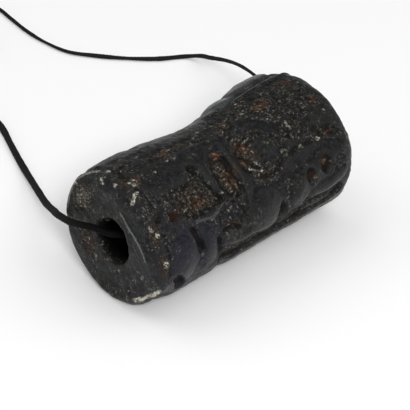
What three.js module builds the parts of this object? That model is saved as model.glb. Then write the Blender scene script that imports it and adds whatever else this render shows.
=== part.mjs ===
// A worn stone cylinder seal lying on its side, threaded on the cord that it hangs from.
//
// Millimetres, +Z up. The seal's axis runs along X, with its near end at -X. The origin is on the
// surface that the seal lies on, under the middle of its length.
//
// A place on the carved side is [along, turn]: mm along the axis from the middle, and degrees from
// the top of the stone, positive towards -Y. Levels are mm above or below the uncarved stone.

import * as THREE from 'three';

// ---------------------------------------------------------------------------------- driving sizes

const SEAL = {
  length: 28,
  radius: 7.4,          // uncarved stone
  axisHeight: 7.3,      // a little under the radius: the stone lies on a worn flat
  nearRim: 1.1,         // rounding of the two ends' rims
  farRim: 1.35,
  rimPower: { near: 1.5, far: 2 },   // of the superellipse that rounds each rim: 2 is a circle
  faceDish: 0.15,       // the end faces are worn slightly hollow
  rimCalm: [0.4, 2.2],  // the carving fades in between these depths from a rim
  calmShare: 0.35,      // and this share of it is left at the rim itself
};

const BORE = {
  mouth: 2.25,          // radius at the end faces
  waist: 1.65,          // radius at mid-length, where the two drillings meet
  flare: 1.6,           // depth over which the mouth narrows
  lip: 0.35,            // rounding of the mouth's edge
  depths: [1.4, 3.6],   // of the rings between a lip and mid-length
  nearWear: { even: 0.08, turn: 16, reach: 50, rise: 0.62 },   // growth of the near mouth
};

const THREAD = { diameter: 0.55, sides: 8, steps: 76 };

const COIL = {
  centre: [5.5, 49],
  middleRadius: 2.7,    // to the middle of the turns
  section: 2,           // width and height of the wound turns
  corner: 0.45,         // bevel of the section's corners, as a share of half its width
  segments: 24,
};

const KNOT = { centre: [1, 46.4], across: 1.95, height: 1, segments: [12, 8] };

const GRID = { alongSide: 48, aroundStone: 60, rimSteps: 3, lipSteps: 2 };

const COLOURS = { stone: 0x24262a, thread: 0x0c0c0d };

const { clamp, degToRad, euclideanModulo, lerp, smoothstep } = THREE.MathUtils;

// ------------------------------------------------------------------------------ the stone's shape

// Long slow swellings of the stone, a bell each in both directions.
const SWELLINGS = [
  { place: [-9.6, -50], reach: [4.2, 70], rise: 0.28 },
  { place: [0.2, -50], reach: [4.4, 75], rise: -0.66 },
  { place: [10.4, -50], reach: [3.6, 62], rise: 0.34 },
  { place: [-12.9, 134], reach: [1.3, 22], rise: -0.85 },
  { place: [13.2, 64], reach: [2.2, 26], rise: 0.34 },
  { place: [-13, -43], reach: [1.5, 12], rise: 0.12 },
  { place: [-4.2, 136], reach: [0.8, 20], rise: -0.4 },
];

// How the near rim's rounding grows wider round the turn: a long worn bevel, and one sharp corner.
const NEAR_RIM_CHANGES = [
  { turn: 48, reach: 44, rise: 1.6 },
  { turn: -43, reach: 10, rise: -0.75 },
];

// The carving. Each form brings the surface to its own level inside its outline, with a soft edge,
// and later forms stand on earlier ones. `crown` is the extra rise in the middle of a form.
const CARVING = [
  // rough skin of the top right, and the plainer bands along the top
  { form: 'oval', place: [6.6, 4], size: [7.4, 4.6], level: -0.05 },
  { form: 'stroke', path: [[-11, -3], [-6, 0], [0, 1]], half: 1, level: -0.02 },
  { form: 'stroke', path: [[-9.5, 7], [-4.5, 6], [-0.5, 9]], half: 0.3, level: 0.04, crown: 0.05 },
  { form: 'oval', place: [-8.6, 22], size: [3.1, 1.45], level: 0.03, crown: 0.06 },
  { form: 'oval', place: [-3.4, 15], size: [2.6, 0.9], level: 0, crown: 0.05 },
  { form: 'oval', place: [11.2, 36], size: [1.3, 1.5], level: 0, crown: 0.06 },
  { form: 'stroke', path: [[2, 10], [4.4, 17], [5.8, 26]], half: 0.8, level: -0.16 },
  // border line round the near end
  { form: 'stroke', path: [[-12.4, -60], [-12.4, -10], [-12.3, 10]], half: 0.4, level: -0.2 },
  { form: 'stroke', path: [[-12.6, 14], [-12.9, 50], [-12.8, 100]], half: 0.55, level: -0.14 },
  // sunk field between the two animals
  { form: 'oval', place: [-7.7, 47], size: [2.6, 1.9], tilt: 12, level: -0.3 },
  { form: 'stroke', path: [[-8.6, 51], [-6.2, 54], [-4.9, 57]], half: 0.75, level: -0.42 },
  { form: 'stroke', path: [[-7.4, 42], [-6.3, 34], [-5.75, 25]], half: 0.55, level: -0.36 },
  { form: 'oval', place: [-5.7, 26.5], size: [0.28, 0.5], level: -0.6 },
  { form: 'oval', place: [-2.6, 41], size: [1.35, 2.6], tilt: 4, level: -0.34 },
  { form: 'stroke', path: [[-1.9, 44], [-1.9, 52], [-2.2, 59]], half: 0.6, level: -0.46 },
  { form: 'stroke', path: [[-4.9, 26], [-4.6, 36], [-4.4, 45]], half: 0.42, level: 0, crown: 0.08 },
  { form: 'stroke', path: [[-8.6, 63], [-6.5, 66.5], [-4.4, 61.5]], half: 0.26, level: 0, crown: 0.1 },
  { form: 'oval', place: [-10.55, 51], size: [0.6, 0.65], level: -0.62 },
  { form: 'oval', place: [-10.8, 36], size: [0.6, 0.4], level: -0.15, crown: 0.1 },
  { form: 'oval', place: [-3.9, 73], size: [1.8, 1.7], level: -0.2 },
  { form: 'stroke', path: [[-5.5, 84], [-3.8, 83], [-3, 86.5]], half: 0.2, level: -0.5 },
  // fore part of the left animal: two smooth lobes with a notch between them
  { form: 'oval', place: [-10.7, 90], size: [1.75, 3], tilt: -4, level: 0.04, crown: 0.3 },
  { form: 'oval', place: [-7.2, 90], size: [1.05, 2.5], tilt: -4, level: 0, crown: 0.3 },
  { form: 'stroke', path: [[-9, 68], [-8.7, 77], [-8.3, 89]], half: 0.3, level: -0.55 },
  { form: 'stroke', path: [[-6, 87], [-5.9, 95], [-5.4, 106]], half: 0.28, level: -0.5 },
  { form: 'stroke', path: [[-11.5, 103], [-10.5, 117]], half: 0.5, level: -0.6 },
  // its curved neck, and the disc in its sunk ring
  { form: 'oval', place: [2.5, 41.5], size: [3.2, 2.55], tilt: 3, level: -0.22 },
  { form: 'oval', place: [3.05, 40], size: [1.95, 1.35], level: -0.08, crown: 0.12 },
  { form: 'stroke', path: [[0.3, 36], [0.75, 44], [1.5, 52]], half: 0.26, level: -0.5 },
  { form: 'stroke', path: [[-1, 16], [-1.15, 30], [-1.1, 42],
    [-0.85, 52], [-0.8, 62], [-1.2, 72]], half: 0.44, level: 0.06, crown: 0.14 },
  // lines over the right animal's back
  { form: 'oval', place: [8, 34], size: [2, 1.5], level: -0.16 },
  { form: 'oval', place: [6.9, 36], size: [0.42, 0.5], level: -0.3 },
  { form: 'oval', place: [10, 43.5], size: [0.5, 0.5], level: -0.22 },
  { form: 'stroke', path: [[5.7, 53], [7.4, 51], [9.6, 51.5], [10.6, 48]], half: 0.32, level: -0.2 },
  { form: 'stroke', path: [[10.5, 48.5], [11.6, 50.5], [12.2, 53]], half: 0.42, level: -0.24 },
  { form: 'oval', place: [8.3, 62], size: [4.3, 0.9], tilt: 2, level: 0.02, crown: 0.1 },
  // hanging edge of the ledge under both animals
  { form: 'stroke', path: [[-4.5, 112], [2, 112], [11.2, 108]], half: 1.15, level: -0.5 },
  { form: 'stroke', path: [[7, 112], [10.5, 113]], half: 0.3, level: -0.26 },
  // body of the right animal, with its two drilled pits
  { form: 'oval', place: [9.2, 77], size: [3.9, 2.3], level: 0.04, crown: 0.26 },
  { form: 'oval', place: [11.4, 80], size: [0.9, 1.2], level: 0, crown: 0.1 },
  { form: 'oval', place: [7.3, 77.5], size: [0.62, 0.85], level: -0.34 },
  { form: 'oval', place: [9.6, 73.5], size: [0.7, 1], level: -0.24 },
  // haunch, foreleg and paws
  { form: 'stroke', path: [[-5.3, 93.5], [-3.8, 97], [-1.6, 99]], half: 0.42, level: 0.05, crown: 0.1 },
  { form: 'oval', place: [0.5, 85], size: [2.6, 2.6], tilt: 12, level: 0.12, crown: 0.42 },
  { form: 'oval', place: [3, 96], size: [0.8, 1.4], tilt: 12, level: -0.5 },
  { form: 'oval', place: [5.6, 84], size: [1.4, 1.75], level: 0.12, crown: 0.3 },
  { form: 'oval', place: [9.9, 92], size: [2.7, 1], tilt: -4, level: 0.1, crown: 0.26 },
  { form: 'oval', place: [6.75, 100], size: [0.4, 0.45], level: -0.9 },
  // two smooth lobes behind the top edge
  { form: 'stroke', path: [[4.6, -25.5], [12.8, -25]], half: 0.48, level: -0.6 },
  { form: 'stroke', path: [[5.6, -19.5], [12.6, -18.7]], half: 0.26, level: 0.1, crown: 0.1 },
  { form: 'oval', place: [9.9, -46], size: [2.8, 2.7], level: 0.2, crown: 0.32 },
  { form: 'oval', place: [5.4, -45], size: [1.5, 2.3], level: 0.08, crown: 0.22 },
  { form: 'stroke', path: [[-7.1, -62], [-7.1, -30]], half: 0.4, level: -0.3 },
  // the far side: a sunk field with a standing animal, a small one, and a disc
  { form: 'oval', place: [-6.2, 255], size: [5.4, 6.2], level: -0.5 },
  { form: 'oval', place: [5.9, 252], size: [5.6, 6.4], level: -0.5 },
  { form: 'oval', place: [-5.9, 246], size: [3.5, 1.55], tilt: -10, level: 0, crown: 0.4 },
  { form: 'oval', place: [-2.9, 233], size: [1.6, 1.5], level: 0.05, crown: 0.4 },
  { form: 'stroke', path: [[-2.6, 238], [-1.5, 262], [-0.6, 272]], half: 0.6, level: 0, crown: 0.2 },
  { form: 'oval', place: [0.2, 276], size: [1.3, 0.75], tilt: 15, level: 0.02, crown: 0.2 },
  { form: 'stroke', path: [[-8.3, 243], [-8.7, 222], [-9.4, 213]], half: 0.5, level: -0.05, crown: 0.1 },
  { form: 'stroke', path: [[-3.3, 236], [-3.9, 220], [-3.2, 212]], half: 0.5, level: -0.05, crown: 0.1 },
  { form: 'oval', place: [-7.4, 283], size: [1.5, 1.5], level: -0.05, crown: 0.15 },
  { form: 'oval', place: [6.6, 240], size: [3.3, 1.8], tilt: 8, level: 0.02, crown: 0.42 },
  { form: 'stroke', path: [[9.1, 246], [10.4, 262], [10.2, 276]], half: 0.62, level: 0, crown: 0.2 },
  { form: 'stroke', path: [[4.4, 238], [4, 222], [4.8, 212]], half: 0.5, level: -0.05, crown: 0.1 },
  { form: 'stroke', path: [[8.9, 238], [9.5, 222], [8.8, 212]], half: 0.5, level: -0.05, crown: 0.1 },
  { form: 'stroke', path: [[3.2, 262], [5.2, 284]], half: 0.5, level: -0.05, crown: 0.1 },
];

// A form's soft edge, half its width in mm.
const EDGE = 0.3;

// ----------------------------------------------------------------------------------- relief height

// Signed turn from one direction to another, in degrees, from -180 to 180.
function turnBetween(from, to) {
  return euclideanModulo(to - from + 180, 360) - 180;
}

// A place as flat mm [along, round the stone], measured from another place's turn.
function unrolled([along, turn], turnOrigin) {
  return [along, degToRad(turnBetween(turnOrigin, turn)) * SEAL.radius];
}

// Distance from a flat point to a path of flat points.
function distanceToPath([px, py], path) {
  let nearest = Infinity;
  for (let i = 1; i < path.length; i += 1) {
    const [ax, ay] = path[i - 1];
    const [bx, by] = path[i];
    const lengthSquared = (bx - ax) ** 2 + (by - ay) ** 2;
    const share = clamp(((px - ax) * (bx - ax) + (py - ay) * (by - ay)) / lengthSquared, 0, 1);
    const gap = Math.hypot(px - lerp(ax, bx, share), py - lerp(ay, by, share));
    nearest = Math.min(nearest, gap);
  }
  return nearest;
}

// How far out a place lies in a form: `reach` is 0 in its middle and 1 on its outline, and `cover`
// falls from 1 to 0 across the soft edge.
function reachInForm(form, place) {
  let reach;
  let halfWidth;
  if (form.form === 'oval') {
    const [dx, dy] = unrolled(place, form.place[1]);
    const tilt = degToRad(form.tilt ?? 0);
    const u = (dx - form.place[0]) * Math.cos(tilt) + dy * Math.sin(tilt);
    const v = dy * Math.cos(tilt) - (dx - form.place[0]) * Math.sin(tilt);
    reach = Math.hypot(u / form.size[0], v / form.size[1]);
    halfWidth = Math.min(...form.size);
  } else {
    const origin = form.path[0][1];
    const path = form.path.map((point) => unrolled(point, origin));
    reach = distanceToPath(unrolled(place, origin), path) / form.half;
    halfWidth = form.half;
  }
  const edge = Math.min(EDGE / halfWidth, 0.7);
  return { reach, cover: 1 - smoothstep(reach, 1 - edge, 1 + edge) };
}

// Height of the carved surface over the uncarved stone at a place.
function reliefLevel(place) {
  const [along, turn] = place;
  let swelling = 0;
  for (const bell of SWELLINGS) {
    const x = (along - bell.place[0]) / bell.reach[0];
    const t = turnBetween(bell.place[1], turn) / bell.reach[1];
    swelling += bell.rise * Math.exp(-x * x - t * t);
  }
  let level = 0;
  for (const form of CARVING) {
    const { reach, cover } = reachInForm(form, place);
    const target = form.level + (form.crown ?? 0) * Math.max(0, 1 - reach * reach);
    level = lerp(level, target, cover);
  }
  return level + swelling;
}

// Radius of the carved side, calmed towards the two rims so that the ends stay round.
function sideRadius(along, turn) {
  const toRim = SEAL.length / 2 - Math.abs(along);
  const calm = lerp(SEAL.calmShare, 1, smoothstep(toRim, ...SEAL.rimCalm));
  return SEAL.radius + calm * reliefLevel([along, turn]);
}

// Growth of the near mouth at its edge: a little all round, and a bell's worth more near its top.
function mouthGrowth(turn) {
  const { even, turn: middle, reach, rise } = BORE.nearWear;
  return even + rise * Math.exp(-((turnBetween(middle, turn) / reach) ** 2));
}

// Radius of the bore at a depth from an end face, where side is 1 for the far end and -1 for the near.
function boreRadius(side, depth, turn) {
  const growth = side < 0 ? mouthGrowth(turn) : 0;
  return BORE.waist + (BORE.mouth + growth - BORE.waist) * Math.exp(-depth / BORE.flare);
}

// Width of a rim's rounding at a turn, measured inwards.
function rimWidth(side, turn) {
  if (side > 0) return SEAL.farRim;
  const changes = NEAR_RIM_CHANGES.map(({ turn: middle, reach, rise }) => (
    rise * Math.exp(-((turnBetween(middle, turn) / reach) ** 2))));
  return changes.reduce((sum, change) => sum + change, SEAL.nearRim);
}

// ------------------------------------------------------------------------------------- the profile

// Rings from an end's side over its rim, in over its face and round the lip of its bore. The rim is
// a quarter of a superellipse and the lip a quarter circle. Each ring gives [along, radius] for a turn.
function endRings(side) {
  const half = SEAL.length / 2;
  const rim = side > 0 ? SEAL.farRim : SEAL.nearRim;
  const power = side > 0 ? SEAL.rimPower.far : SEAL.rimPower.near;
  const edge = side * (half - rim);
  const dished = side * (half - SEAL.faceDish);
  const mouth = (turn) => BORE.mouth + (side < 0 ? mouthGrowth(turn) : 0);
  const rimEnd = (turn) => sideRadius(edge, turn) - rimWidth(side, turn);
  const rings = [];
  for (let i = 1; i <= GRID.rimSteps; i += 1) {
    const arc = (Math.PI / 2) * (i / GRID.rimSteps);
    const out = Math.sin(arc) ** (2 / power);
    const inward = 1 - Math.max(Math.cos(arc), 0) ** (2 / power);
    rings.push((turn) => [
      edge + side * rim * out,
      sideRadius(edge, turn) - rimWidth(side, turn) * inward,
    ]);
  }
  rings.push((turn) => [dished, (rimEnd(turn) + mouth(turn) + BORE.lip) / 2]);
  for (let i = 0; i <= GRID.lipSteps; i += 1) {
    const arc = (Math.PI / 2) * (i / GRID.lipSteps);
    rings.push((turn) => [
      dished - side * BORE.lip * (1 - Math.cos(arc)),
      mouth(turn) + BORE.lip * (1 - Math.sin(arc)),
    ]);
  }
  return rings;
}

// Rings of the stone's skin in order: along the side, round the far rim, in to the bore, back
// through it, and out to the near rim.
function stoneRings() {
  const half = SEAL.length / 2;
  const nearEdge = -half + SEAL.nearRim;
  const farEdge = half - SEAL.farRim;
  const rings = [];
  for (let i = 0; i <= GRID.alongSide; i += 1) {
    const along = lerp(nearEdge, farEdge, i / GRID.alongSide);
    rings.push((turn) => [along, sideRadius(along, turn)]);
  }
  const boreRing = (side, depth) => (turn) => [side * (half - depth), boreRadius(side, depth, turn)];
  rings.push(...endRings(1));
  rings.push(...BORE.depths.map((depth) => boreRing(1, depth)));
  rings.push(boreRing(1, half));
  rings.push(...BORE.depths.map((depth) => boreRing(-1, depth)).reverse());
  rings.push(...endRings(-1).reverse());
  return rings;
}

// The stone: its rings carried round the axis and joined into one closed skin, cut level where it
// rests.
function stoneGeometry() {
  const rings = stoneRings();
  const around = GRID.aroundStone;
  const positions = [];
  for (const ring of rings) {
    for (let j = 0; j < around; j += 1) {
      const turn = (360 * j) / around;
      const [along, radius] = ring(turn);
      const height = SEAL.axisHeight + radius * Math.cos(degToRad(turn));
      positions.push(along, -radius * Math.sin(degToRad(turn)), Math.max(0, height));
    }
  }
  const index = [];
  for (let i = 0; i < rings.length; i += 1) {
    for (let j = 0; j < around; j += 1) {
      const a = i * around + j;
      const b = i * around + ((j + 1) % around);
      const c = ((i + 1) % rings.length) * around + j;
      const d = ((i + 1) % rings.length) * around + ((j + 1) % around);
      index.push(a, b, c, b, d, c);
    }
  }
  const geometry = new THREE.BufferGeometry();
  geometry.setAttribute('position', new THREE.Float32BufferAttribute(positions, 3));
  geometry.setIndex(index);
  geometry.computeVertexNormals();
  return geometry;
}

// -------------------------------------------------------------------------------------- the thread

// Centreline from the coil, along the surface, up over the far rim, through the bore, and down from
// the near mouth to the knot.
const THREAD_ROUTE = [
  // out of the coil and round
  [7.4, 52.95, 0.95], [9.4, 54.4, 0.35], [12, 55.7, 0.28], [14.1, 55, 0.28],
  // along the surface to the far end
  [14.8, 52.2, 0.28], [14.4, 49.2, 0.28], [13.9, 45.8, 0.28], [13.8, 42.3, 0.28],
  [14.35, 38.75, 0.28], [15.95, 36.05, 0.28], [18.2, 33.05, 0.28], [20.8, 30.35, 0.28],
  [23.6, 28.3, 0.32], [24.1, 26.4, 1], [23.4, 24.2, 2.05], [22.3, 20.6, 3.8],
  [20.9, 17.2, 5.4], [19.3, 13.6, 6.75], [17.9, 8.9, 7.25], [16.7, 3.9, 7.3],
  // through the bore
  [14.4, 0.5, 7], [10, 0.1, 6.6], [0, 0, 6.4], [-10, 0.3, 6.7],
  [-13, 0.9, 7.6], [-14.3, 2.3, 8.3], [-15.05, 4.6, 8.1], [-14.85, 6.7, 7.75],
  // down to the surface
  [-13.1, 9.6, 5.95], [-10.7, 13.8, 3.65], [-8.4, 17.9, 2.1], [-6.3, 21.8, 0.9],
  [-4.7, 25.2, 0.44], [-3.25, 28.45, 0.42], [-1.75, 31.85, 0.42], [-0.6, 36.6, 0.42],
  [0.1, 41.2, 0.42], [0.6, 45, 0.42],
];

// A regular polygon of the thread's section.
function threadSection() {
  const corners = [];
  for (let i = 0; i < THREAD.sides; i += 1) {
    const angle = (2 * Math.PI * i) / THREAD.sides;
    corners.push(new THREE.Vector2(Math.cos(angle), Math.sin(angle)));
  }
  return new THREE.Shape(corners.map((corner) => corner.multiplyScalar(THREAD.diameter / 2)));
}

// The thread as a plain tube along its route.
function threadGeometry() {
  const points = THREAD_ROUTE.map((point) => new THREE.Vector3(...point));
  const curve = new THREE.CatmullRomCurve3(points, false, 'centripetal');
  return new THREE.ExtrudeGeometry(threadSection(), { steps: THREAD.steps, extrudePath: curve });
}

// The wound spare length as one round ring, with softened corners, from its foot at 0.
function coilGeometry() {
  const half = COIL.section / 2;
  const corner = half * COIL.corner;
  const outline = [];
  for (const [sx, sy] of [[1, -1], [1, 1], [-1, 1], [-1, -1]]) {
    const first = sx * sy > 0 ? [half, half - corner] : [half - corner, half];
    const second = sx * sy > 0 ? [half - corner, half] : [half, half - corner];
    outline.push(new THREE.Vector2(COIL.middleRadius + sx * first[0], half + sy * first[1]));
    outline.push(new THREE.Vector2(COIL.middleRadius + sx * second[0], half + sy * second[1]));
  }
  outline.push(outline[0].clone());
  const ring = new THREE.LatheGeometry(outline, COIL.segments);
  ring.rotateX(Math.PI / 2);
  return ring;
}

// The knot as a flattened ball: a sphere 1 mm across, scaled.
function knotGeometry() {
  const knot = new THREE.SphereGeometry(0.5, ...KNOT.segments);
  knot.rotateX(Math.PI / 2);
  knot.scale(KNOT.across, KNOT.across, KNOT.height);
  return knot;
}

// ------------------------------------------------------------------------------------ the assembly

const stone = new THREE.MeshStandardMaterial({
  color: COLOURS.stone, roughness: 0.5, metalness: 0,
});
const fibre = new THREE.MeshStandardMaterial({
  color: COLOURS.thread, roughness: 0.85, metalness: 0,
});

// A mesh with its node's name.
function named(name, geometry, material) {
  const mesh = new THREE.Mesh(geometry, material);
  mesh.name = name;
  return mesh;
}

const sealMesh = named('seal', stoneGeometry(), stone);
const threadMesh = named('thread', threadGeometry(), fibre);
const coilMesh = named('thread_coil', coilGeometry(), fibre);
coilMesh.position.set(...COIL.centre, 0);
const knotMesh = named('thread_knot', knotGeometry(), fibre);
knotMesh.position.set(...KNOT.centre, KNOT.height / 2);

const cylinderSeal = new THREE.Group();
cylinderSeal.add(sealMesh, threadMesh, coilMesh, knotMesh);
export default cylinderSeal;
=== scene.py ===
"""A worn stone cylinder seal on its thread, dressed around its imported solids.

The seal lies along X on a surface at height 0, with its near end at -X. A place on the carved side is
(along, turn): millimetres along the axis from the middle, and degrees from the top of the stone,
positive towards -Y. Levels are millimetres over or under the uncarved stone. Meshes are in metres.
"""

from __future__ import annotations

import logging
import math
from dataclasses import dataclass, field
from enum import Enum
from itertools import product

import bpy
import numpy as np
from mathutils import Matrix, Vector

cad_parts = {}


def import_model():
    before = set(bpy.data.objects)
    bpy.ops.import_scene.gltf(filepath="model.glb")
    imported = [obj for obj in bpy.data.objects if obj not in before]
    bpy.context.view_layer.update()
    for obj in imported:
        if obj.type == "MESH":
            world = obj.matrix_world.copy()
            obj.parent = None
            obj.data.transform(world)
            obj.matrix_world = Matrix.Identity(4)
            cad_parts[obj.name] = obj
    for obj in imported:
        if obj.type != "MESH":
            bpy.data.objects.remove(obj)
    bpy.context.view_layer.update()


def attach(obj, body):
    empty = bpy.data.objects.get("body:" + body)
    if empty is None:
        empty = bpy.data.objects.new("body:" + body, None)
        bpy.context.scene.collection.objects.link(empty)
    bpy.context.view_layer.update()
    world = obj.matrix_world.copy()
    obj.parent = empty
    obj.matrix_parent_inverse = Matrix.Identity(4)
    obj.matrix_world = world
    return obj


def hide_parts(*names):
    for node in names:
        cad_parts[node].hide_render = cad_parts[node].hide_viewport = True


LOG = logging.getLogger("cylinder_seal")
MM = 0.001
Place = tuple[float, float]


# ------------------------------------------------------------------------------ numbers on grids


def smoothstep(value: np.ndarray, low: float, high: float) -> np.ndarray:
    """Rise smoothly from 0 at low to 1 at high: t * t * (3 - 2 t) with t clipped to 0..1."""
    t = np.clip((value - low) / (high - low), 0.0, 1.0)
    return t * t * (3.0 - 2.0 * t)


def turn_between(origin: float, turn: np.ndarray) -> np.ndarray:
    """Signed degrees from an origin to each turn, from -180 to 180."""
    return np.mod(turn - origin + 180.0, 360.0) - 180.0


def lattice_value(cell: np.ndarray, seed: int) -> np.ndarray:
    """Give each whole-number lattice point a fixed value in -1..1 by mixing its three numbers' bits.

    Args:
        cell: Whole numbers, shape (..., 3).
        seed: Another number gives other values.

    Returns:
        Values in -1..1, shape (...).
    """
    x, y, z = (cell[..., k].astype(np.int64) for k in range(3))
    mixed = (x * 73856093 ^ y * 19349663 ^ z * 83492791 ^ seed * 668265263) & 0xFFFFFFFF
    mixed = ((mixed ^ (mixed >> 15)) * 2246822519) & 0xFFFFFFFF
    mixed = ((mixed ^ (mixed >> 13)) * 3266489917) & 0xFFFFFFFF
    return (mixed ^ (mixed >> 16)) / 2147483648.0 - 1.0


def noise(points: np.ndarray, size: float, seed: int) -> np.ndarray:
    """Smooth noise in about -1..1: lattice values a pitch apart, blended between the eight corners.

    Args:
        points: Places, shape (..., 3), in the same unit as size.
        size: Pitch of the lattice.
        seed: Another number gives another pattern.

    Returns:
        The noise at each place, shape (...).
    """
    cell = points / size
    base = np.floor(cell)
    part = cell - base
    blend = part * part * (3.0 - 2.0 * part)
    total = np.zeros(points.shape[:-1])
    for corner in product((0, 1), repeat=3):
        weight = np.ones_like(total)
        for k in range(3):
            weight = weight * (blend[..., k] if corner[k] else 1.0 - blend[..., k])
        total += weight * lattice_value(base + np.array(corner), seed)
    return total


def fractal(points: np.ndarray, size: float, seed: int, octaves: int = 3) -> np.ndarray:
    """Noise on noise: each octave has half the pitch and 0.55 of the height of the one before."""
    total = np.zeros(points.shape[:-1])
    height = 1.0
    for octave in range(octaves):
        total += height * noise(points, size * 0.5**octave, seed + 17 * octave)
        height *= 0.55
    return total


def nearest_seed(points: np.ndarray, size: float, seed: int) -> np.ndarray:
    """Distance, in pitches, to the nearest of one random point in each lattice cell."""
    cell = points / size
    base = np.floor(cell)
    nearest = np.full(points.shape[:-1], 9.0)
    for step in product((-1, 0, 1), repeat=3):
        corner = base + np.array(step)
        offset = [0.5 + 0.45 * lattice_value(corner, seed + k) for k in range(3)]
        gap = np.linalg.norm(corner + np.stack(offset, -1) - cell, axis=-1)
        nearest = np.minimum(nearest, gap)
    return nearest


def blurred(grid: np.ndarray, rows: int, columns: int) -> np.ndarray:
    """Mean over a box of 2 rows + 1 by 2 columns + 1 cells, on a grid that closes both ways."""
    out = grid
    for axis, reach in ((0, rows), (1, columns)):
        total = np.zeros_like(out)
        for shift in range(-reach, reach + 1):
            total += np.roll(out, shift, axis=axis)
        out = total / (2 * reach + 1)
    return out


# ------------------------------------------------------------------------------- carved forms


@dataclass(frozen=True)
class Form:
    """A carved form: inside its outline the surface comes to its own level.

    Args:
        level: Height of its outline over the uncarved stone, in mm.
        crown: Extra rise in its middle, in mm.
        rough: How rough it is, 0 to 1.
    """

    level: float = 0.0
    crown: float = 0.0
    rough: float = 0.2

    def reach(self, along: np.ndarray, turn: np.ndarray) -> np.ndarray:
        """How far out each place lies: 0 in the middle, 1 on the outline."""
        raise NotImplementedError

    def narrow(self) -> float:
        """Its smallest half width, in mm."""
        raise NotImplementedError

    def cover(self, reach: np.ndarray, edge: float) -> np.ndarray:
        """Share of the form at each place: 1 inside, falling to 0 over the soft edge."""
        soft = min(edge / self.narrow(), 0.75)
        return 1.0 - smoothstep(reach, 1.0 - soft, 1.0 + soft)


@dataclass(frozen=True)
class Oval(Form):
    """An oval form about a place, with half length and half width in mm and a tilt in degrees."""

    place: Place = (0.0, 0.0)
    size: tuple[float, float] = (1.0, 1.0)
    tilt: float = 0.0

    def reach(self, along: np.ndarray, turn: np.ndarray) -> np.ndarray:
        """Distance from the middle after the oval is turned level and scaled to a circle."""
        dx = along - self.place[0]
        dy = np.radians(turn_between(self.place[1], turn)) * Stone.radius
        c, s = math.cos(math.radians(self.tilt)), math.sin(math.radians(self.tilt))
        return np.hypot((dx * c + dy * s) / self.size[0], (dy * c - dx * s) / self.size[1])

    def narrow(self) -> float:
        """Its smallest half width, in mm."""
        return min(self.size)


@dataclass(frozen=True)
class Stroke(Form):
    """A stroke of an even width along a path of places."""

    path: tuple[Place, ...] = ()
    half: float = 0.4

    def reach(self, along: np.ndarray, turn: np.ndarray) -> np.ndarray:
        """Distance to the nearest leg of the path, in half widths."""
        origin = self.path[0][1]
        px, py = along, np.radians(turn_between(origin, turn)) * Stone.radius
        flat = [(x, math.radians((t - origin + 180) % 360 - 180) * Stone.radius) for x, t in self.path]
        nearest = np.full(np.broadcast(px, py).shape, 99.0)
        for (ax, ay), (bx, by) in zip(flat, flat[1:]):
            run = (bx - ax) ** 2 + (by - ay) ** 2
            share = np.clip(((px - ax) * (bx - ax) + (py - ay) * (by - ay)) / run, 0.0, 1.0)
            gap = np.hypot(px - ax - share * (bx - ax), py - ay - share * (by - ay))
            nearest = np.minimum(nearest, gap)
        return nearest / self.half

    def narrow(self) -> float:
        """Its half width, in mm."""
        return self.half


class Deposit(Enum):
    """What has settled in or worn off the surface, and the painted highlight."""

    EARTH = "earth"
    RUST = "rust"
    CHALK = "chalk"
    PAINTED_HIGHLIGHT = "painted_highlight"


@dataclass(frozen=True)
class Patch:
    """A patch of deposit or of painted highlight, with a broken outline, over an oval or a stroke."""

    deposit: Deposit
    form: Form
    strength: float = 1.0


@dataclass(frozen=True)
class Swelling:
    """A long slow swelling: a bell in both directions, reaching mm along and degrees round."""

    place: Place
    reach: tuple[float, float]
    rise: float

    def height(self, along: np.ndarray, turn: np.ndarray) -> np.ndarray:
        """rise * exp(-x^2 - t^2), with x and t in reaches from the middle."""
        x = (along - self.place[0]) / self.reach[0]
        t = turn_between(self.place[1], turn) / self.reach[1]
        return self.rise * np.exp(-x * x - t * t)


# ---------------------------------------------------------------------------------- meshes


def closed_surface(name: str, grid: np.ndarray, caps: bool) -> bpy.types.Object:
    """Make a mesh object from a grid of points that closes round its columns.

    Args:
        name: Name of the object and its mesh.
        grid: Points in metres, shape (rows, columns, 3); faces point to where the step to the next
            column, crossed with the step to the next row, points.
        caps: True closes the first and last rows with a pole each, False joins them to each other.

    Returns:
        The object, at the origin, smooth shaded.
    """
    rows, columns = grid.shape[:2]
    ids = np.arange(rows * columns).reshape(rows, columns)
    lower = ids[:-1] if caps else ids
    upper = ids[1:] if caps else np.roll(ids, -1, axis=0)
    quads = np.stack([lower, np.roll(lower, -1, axis=1), np.roll(upper, -1, axis=1), upper], -1)
    faces = quads.reshape(-1, 4).tolist()
    points = grid.reshape(-1, 3)
    if caps:
        poles = np.stack([grid[0].mean(0), grid[-1].mean(0)])
        points = np.concatenate([points, poles])
        first, last = rows * columns, rows * columns + 1
        following = np.roll(np.arange(columns), -1)
        for j, k in enumerate(following):
            faces.append([int(ids[0, k]), int(ids[0, j]), first])
            faces.append([int(ids[-1, j]), int(ids[-1, k]), last])
    mesh = bpy.data.meshes.new(name)
    mesh.from_pydata(points, [], faces)
    mesh.polygons.foreach_set("use_smooth", np.ones(len(mesh.polygons), dtype=bool))
    mesh.update()
    piece = bpy.data.objects.new(name, mesh)
    bpy.context.collection.objects.link(piece)
    return piece


def set_attribute(piece: bpy.types.Object, name: str, values: np.ndarray) -> None:
    """Store one number for each point of a piece, for its material to read."""
    attribute = piece.data.attributes.new(name, "FLOAT", "POINT")
    padded = np.zeros(len(piece.data.vertices), dtype=np.float32)
    padded[: values.size] = values.ravel()
    attribute.data.foreach_set("value", padded)


# ---------------------------------------------------------------------------------- finishes


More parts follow.
